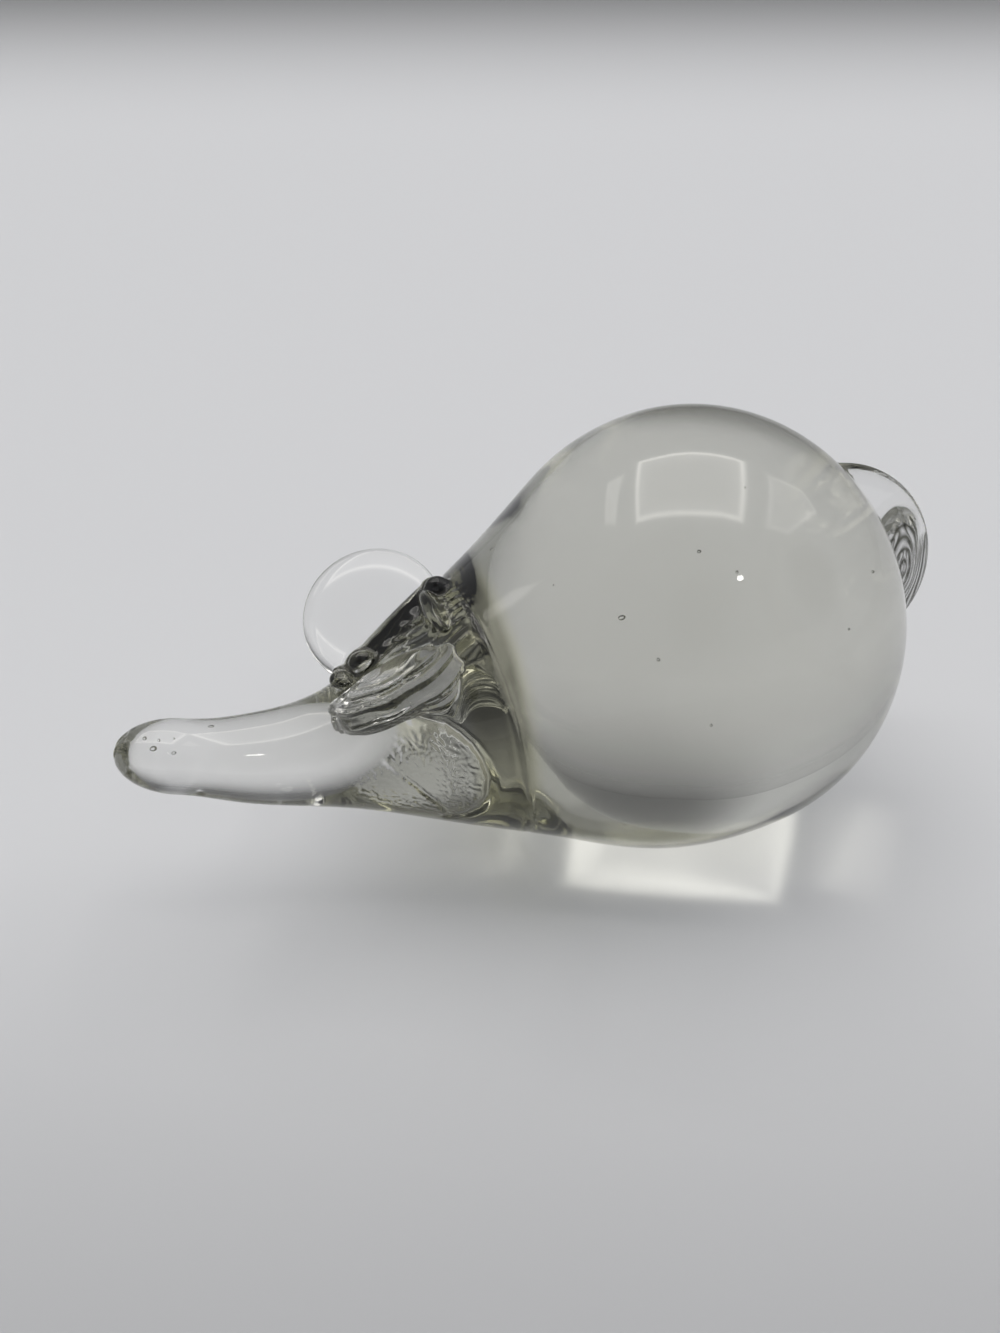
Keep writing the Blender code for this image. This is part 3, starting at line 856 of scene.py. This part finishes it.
def glass_material(name, piece):
    """Clear worked glass: faint waves and smears, olive at the neck, painted shade beside the neck's
    crease and in the tail's butt.
    """
    material = bpy.data.materials.new(name)
    material.use_nodes = True
    shade = Shade(material.node_tree)
    shader = material.node_tree.nodes["Principled BSDF"]
    shader.inputs["IOR"].default_value = GLASS_IOR
    shader.inputs["Transmission Weight"].default_value = 1.0
    place = shade.node("ShaderNodeTexCoord").outputs["Object"]

    def noise(scale, detail, distortion=0.0):
        node = shade.node("ShaderNodeTexNoise")
        shade.link(place, node.inputs["Vector"])
        node.inputs["Scale"].default_value = scale
        node.inputs["Detail"].default_value = detail
        node.inputs["Distortion"].default_value = distortion
        return node.outputs[0]

    def along(direction, centre):
        """Millimetres along a direction from a place that is measured from the widest part."""
        start = float(np.dot(direction, centre + WIDE)) * MM
        return shade.times(shade.math("SUBTRACT", shade.dot(place, direction), start), 1.0 / MM)

    def round_neck(middle, half, soft):
        """1 in a band round the neck and 0 beside it."""
        return shade.band(along((1.0, 0.0, 0.0), np.array([middle, 0.0, 0.0])), 0.0, half, soft)

    def mixed(share, first, second):
        """A colour between two others."""
        node = shade.node("ShaderNodeMix", data_type="RGBA")
        shade.link(share, node.inputs["Factor"])
        shade.link(first, node.inputs["A"])
        node.inputs["B"].default_value = second
        return node.outputs["Result"]

    streaks = noise(90.0, 4.0, 1.5)
    stain_and_shade = shade.times(streaks, STREAK_STAIN)
    if piece == "body":
        stain_and_shade = shade.plus(stain_and_shade, shade.times(round_neck(*NECK_BAND), shade.plus(0.6, streaks)))
    # painted shade: the tail's butt and foot are darkened, in nested arches
    if piece == "tail":
        wide = along(tuple(ARCH_WIDE), ARCH_CENTRE)
        long = along(tuple(ARCH_LONG), ARCH_CENTRE)
        long = shade.times(long, 1.0 / ARCH_LENGTH)
        arch = shade.math("SQRT", shade.plus(shade.times(wide, wide), shade.times(long, long)))
        arch = shade.plus(arch, shade.times(streaks, 0.7))
        wave = shade.math("SINE", shade.times(arch, 4.0 * math.pi / ARCH_PITCH))
        wave = shade.plus(0.62, shade.times(0.38, wave))
        foot = shade.smooth(along(tuple(TAIL_ALONG), TAIL_CENTRE), *FOOT_SHADE_EDGE)
        butt = shade.math("MAXIMUM", shade.smooth(arch, *BUTT_SHADE_EDGE), foot)
        stain_and_shade = shade.plus(stain_and_shade, shade.times(butt, wave))
    colour = mixed(shade.math("MINIMUM", stain_and_shade, 1.0), CLEAR, GLASS_STAINS_AND_SHADE.get(piece, EAR_STAIN))
    if piece == "body":
        # painted shade: the glass's colour is darkened beside the neck's crease
        dark = shade.math("MINIMUM", shade.plus(0.25, streaks), 1.0)
        colour = mixed(shade.times(round_neck(*CREASE_SHADE_BAND), dark), colour, CREASE_SHADE_COLOUR)
    shade.link(colour, shader.inputs["Base Color"])
    smears = shade.times(shade.smooth(noise(140.0, 3.0), 0.52, 0.72), SMEAR_ROUGHNESS)
    shade.link(smears, shader.inputs["Roughness"])
    bump = shade.node("ShaderNodeBump")
    bump.inputs["Strength"].default_value = WAVE_STRENGTH
    bump.inputs["Distance"].default_value = WAVE_DEPTH * MM
    height = noise(160.0, 2.0)
    if piece == "body":
        away = [along(tuple(axis), PATCH_MIDDLE) for axis in np.eye(3)]
        away = shade.math("SQRT", shade.plus(*(shade.times(a, a) for a in away)))
        grain = shade.times(noise(1300.0, 2.0), shade.smooth(away, *PATCH_EDGE), PATCH_GRAIN)
        height = shade.plus(height, grain)
    shade.link(height, bump.inputs["Height"])
    shade.link(bump.outputs[0], shader.inputs["Normal"])
    depth = shade.node("ShaderNodeVolumeAbsorption")
    depth.inputs["Color"].default_value = GLASS_TINT
    depth.inputs["Density"].default_value = GLASS_DENSITY
    shade.link(depth.outputs[0], material.node_tree.nodes["Material Output"].inputs["Volume"])
    return material


def make_floor():
    """A pale sheet with painted shade far behind and a little in front of the mouse, matt where it
    is seen and lit, and with a sheen where glass sees it.
    """
    mesh = bpy.data.meshes.new("floor")
    steps = FLOOR_STEPS
    turns = [2.0 * math.pi * k / steps for k in range(steps)]
    verts = [(0.0, 0.0, 0.0)]
    verts += [(r * math.cos(t), r * math.sin(t), 0.0) for r in FLOOR_RINGS for t in turns]
    faces = [(0, 1 + k, 1 + (k + 1) % steps) for k in range(steps)]
    for i in range(len(FLOOR_RINGS) - 1):
        near = 1 + i * steps
        far = near + steps
        faces += [(near + k, far + k, far + (k + 1) % steps, near + (k + 1) % steps)
                  for k in range(steps)]
    mesh.from_pydata(verts, [], faces)
    mesh.shade_smooth()
    floor = bpy.data.objects.new("floor", mesh)
    bpy.context.scene.collection.objects.link(floor)
    floor.location.z = FLOOR_GAP
    material = bpy.data.materials.new("paper_floor")
    material.use_nodes = True
    shade = Shade(material.node_tree)
    shader = material.node_tree.nodes["Principled BSDF"]
    shader.inputs["Roughness"].default_value = FLOOR_ROUGHNESS
    shader.inputs["Specular IOR Level"].default_value = 0.0
    place = shade.node("ShaderNodeTexCoord").outputs["Object"]
    # painted shade: the sheet's colour darkens far behind the mouse and a little in front of it
    depth = shade.dot(place, towards(VIEW_YAW, 0.0))
    level = shade.times(*(
        shade.less(shade.times(shade.smooth(depth, start, end), share))
        for start, end, share in FLOOR_SHADE_FADES
    ))
    tint = shade.node("ShaderNodeMix", data_type="RGBA", blend_type="MULTIPLY")
    tint.inputs["Factor"].default_value = 1.0
    tint.inputs["A"].default_value = FLOOR_COLOUR
    grey = shade.node("ShaderNodeCombineColor")
    for socket in grey.inputs[:3]:
        shade.link(level, socket)
    shade.link(grey.outputs[0], tint.inputs["B"])
    shade.link(tint.outputs["Result"], shader.inputs["Base Color"])
    # low down, glass sees the sheet's sheen
    rays = shade.node("ShaderNodeLightPath").outputs
    through = shade.math("MAXIMUM", rays["Is Transmission Ray"], rays["Is Glossy Ray"])
    facing = shade.node("ShaderNodeLayerWeight")
    facing.inputs["Blend"].default_value = 0.5
    sheen = shade.node("ShaderNodeMapRange")
    sheen.inputs["From Min"].default_value = SHEEN_START
    sheen.inputs["To Max"].default_value = SHEEN_MOST
    shade.link(facing.outputs["Facing"], sheen.inputs["Value"])
    gloss = shade.node("ShaderNodeBsdfGlossy")
    gloss.inputs["Roughness"].default_value = SHEEN_ROUGHNESS
    mix = shade.node("ShaderNodeMixShader")
    shade.link(shade.times(through, sheen.outputs[0]), mix.inputs[0])
    shade.link(shader.outputs[0], mix.inputs[1])
    shade.link(gloss.outputs[0], mix.inputs[2])
    output = material.node_tree.nodes["Material Output"]
    shade.link(mix.outputs[0], output.inputs["Surface"])
    mesh.materials.append(material)


def make_world():
    """Soft light: pale walls, a square ring of lamps overhead, and dark where the walls open."""
    world = bpy.data.worlds.new("light tent")
    bpy.context.scene.world = world
    world.use_nodes = True
    tree = world.node_tree
    tree.nodes.clear()
    shade = Shade(tree)
    way = shade.node("ShaderNodeTexCoord").outputs["Generated"]
    up = shade.dot(way, (0.0, 0.0, 1.0))

    def spot(azimuth, elevation, inner, outer, share):
        """What is left of the light round a dark direction."""
        near = shade.dot(way, towards(azimuth, elevation))
        dark = shade.smooth(near, math.cos(math.radians(outer)), math.cos(math.radians(inner)))
        return shade.less(shade.times(dark, share))

    # a direction's place on a level plane overhead
    over = shade.math("MAXIMUM", up, 0.03)
    place = shade.node("ShaderNodeCombineXYZ")
    shade.link(shade.math("DIVIDE", shade.dot(way, (1.0, 0.0, 0.0)), over), place.inputs[0])
    shade.link(shade.math("DIVIDE", shade.dot(way, (0.0, 1.0, 0.0)), over), place.inputs[1])
    place.inputs[2].default_value = 1.0

    def within(*corners):
        """How far a place on the plane is inside a shape whose corners run clockwise."""
        depths = []
        for (ax, ay), (bx, by) in zip(corners, corners[1:] + corners[:1]):
            length = math.hypot(bx - ax, by - ay)
            nx = (by - ay) / length
            ny = -(bx - ax) / length
            depths.append(shade.dot(place.outputs[0], (nx, ny, -(nx * ax + ny * ay))))
        depth = depths[0]
        for other in depths[1:]:
            depth = shade.math("MINIMUM", depth, other)
        return depth

    square = within(*LAMP_SQUARE)
    glow = shade.times(shade.band(square, 0.02, 0.06, 0.1), 0.2)
    ring = shade.plus(shade.band(square, 0.0, 0.02, 0.04), glow)
    inner = shade.smooth(square, 0.0, 0.08)
    low_edge = shade.times(shade.band(within(*LAMP_LOW_EDGE), 0.035, 0.05, 0.07), inner)
    left = within(*LEFT_STRIP)
    right = within(*RIGHT_STRIP)
    side = shade.plus(
        shade.smooth(left, -0.03, 0.05),
        shade.times(shade.smooth(right, -0.03, 0.05), 0.4),
        shade.times(shade.band(right, 0.0, 0.02, 0.04), 0.9),
    )
    above = shade.smooth(up, 0.05, 0.15)
    lamps = shade.times(above, shade.plus(
        shade.times(ring, RING_LIGHT), shade.times(low_edge, EDGE_LIGHT),
        shade.times(inner, PANEL_LIGHT), shade.times(side, SIDE_LIGHT),
    ))
    opening = shade.times(shade.smooth(within(*OPENING), -0.05, 0.05), above)
    walls = shade.times(
        WALL_LIGHT,
        shade.less(shade.times(opening, OPENING_SHARE)),
        *(spot(*dark) for dark in DARK_SPOTS),
    )
    rays = shade.node("ShaderNodeLightPath").outputs
    outer, core = (math.cos(math.radians(radius)) for radius in BULB_RADII)
    bulb = shade.smooth(shade.dot(way, towards(*BULB_PLACE)), outer, core)
    direct = shade.times(
        shade.math("LESS_THAN", rays["Diffuse Depth"], 0.5),
        shade.math("LESS_THAN", rays["Transmission Depth"], 0.5),
    )
    lamps = shade.plus(lamps, shade.times(bulb, direct, BULB_LIGHT))
    light = shade.node("ShaderNodeBackground")
    warm = shade.node("ShaderNodeCombineColor")
    for socket, wall, lamp in zip(warm.inputs, WALL_TINT, LAMP_TINT):
        shade.link(shade.plus(shade.times(walls, wall), shade.times(lamps, lamp)), socket)
    shade.link(warm.outputs[0], light.inputs["Color"])
    plain = shade.node("ShaderNodeBackground")
    plain.inputs["Color"].default_value = BACKDROP
    seen = shade.node("ShaderNodeMixShader")
    shade.link(rays["Is Camera Ray"], seen.inputs[0])
    shade.link(light.outputs[0], seen.inputs[1])
    shade.link(plain.outputs[0], seen.inputs[2])
    output = shade.node("ShaderNodeOutputWorld")
    shade.link(seen.outputs[0], output.inputs[0])


def make_glass():
    """The four pieces, each in the place of its solid."""
    points, quads, normals = make_skin()
    label = piece_labels(points, quads)
    joint = joint_material()
    fans = {}
    for which in range(1, len(PIECES)):
        rim = seam_rim(quads, label, which)
        fans[which] = (rim, points[[a for a, _ in rim]].mean(0))
    for which, name in enumerate(PIECES):
        if which:
            closing = [fans[which]]
        else:
            closing = [([(b, a) for a, b in rim], middle) for rim, middle in fans.values()]
        mine = quads[label == which]
        mesh = piece_mesh(
            name + "_glass_piece", points, mine, normals, closing, name == "body",
        )
        piece = bpy.data.objects.new(name + "_glass_piece", mesh)
        bpy.context.scene.collection.objects.link(piece)
        mesh.materials.append(glass_material(name + "_clear_glass", name))
        mesh.materials.append(joint)
        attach(piece, "root")
        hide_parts(name)


scene = bpy.context.scene
scene.view_settings.view_transform = "Standard"
scene.cycles.max_bounces = 32
scene.cycles.transmission_bounces = 24
scene.cycles.glossy_bounces = 16
scene.cycles.diffuse_bounces = 4
scene.cycles.transparent_max_bounces = 32
scene.cycles.blur_glossy = 0.0

make_glass()
make_camera()
make_floor()
make_world()
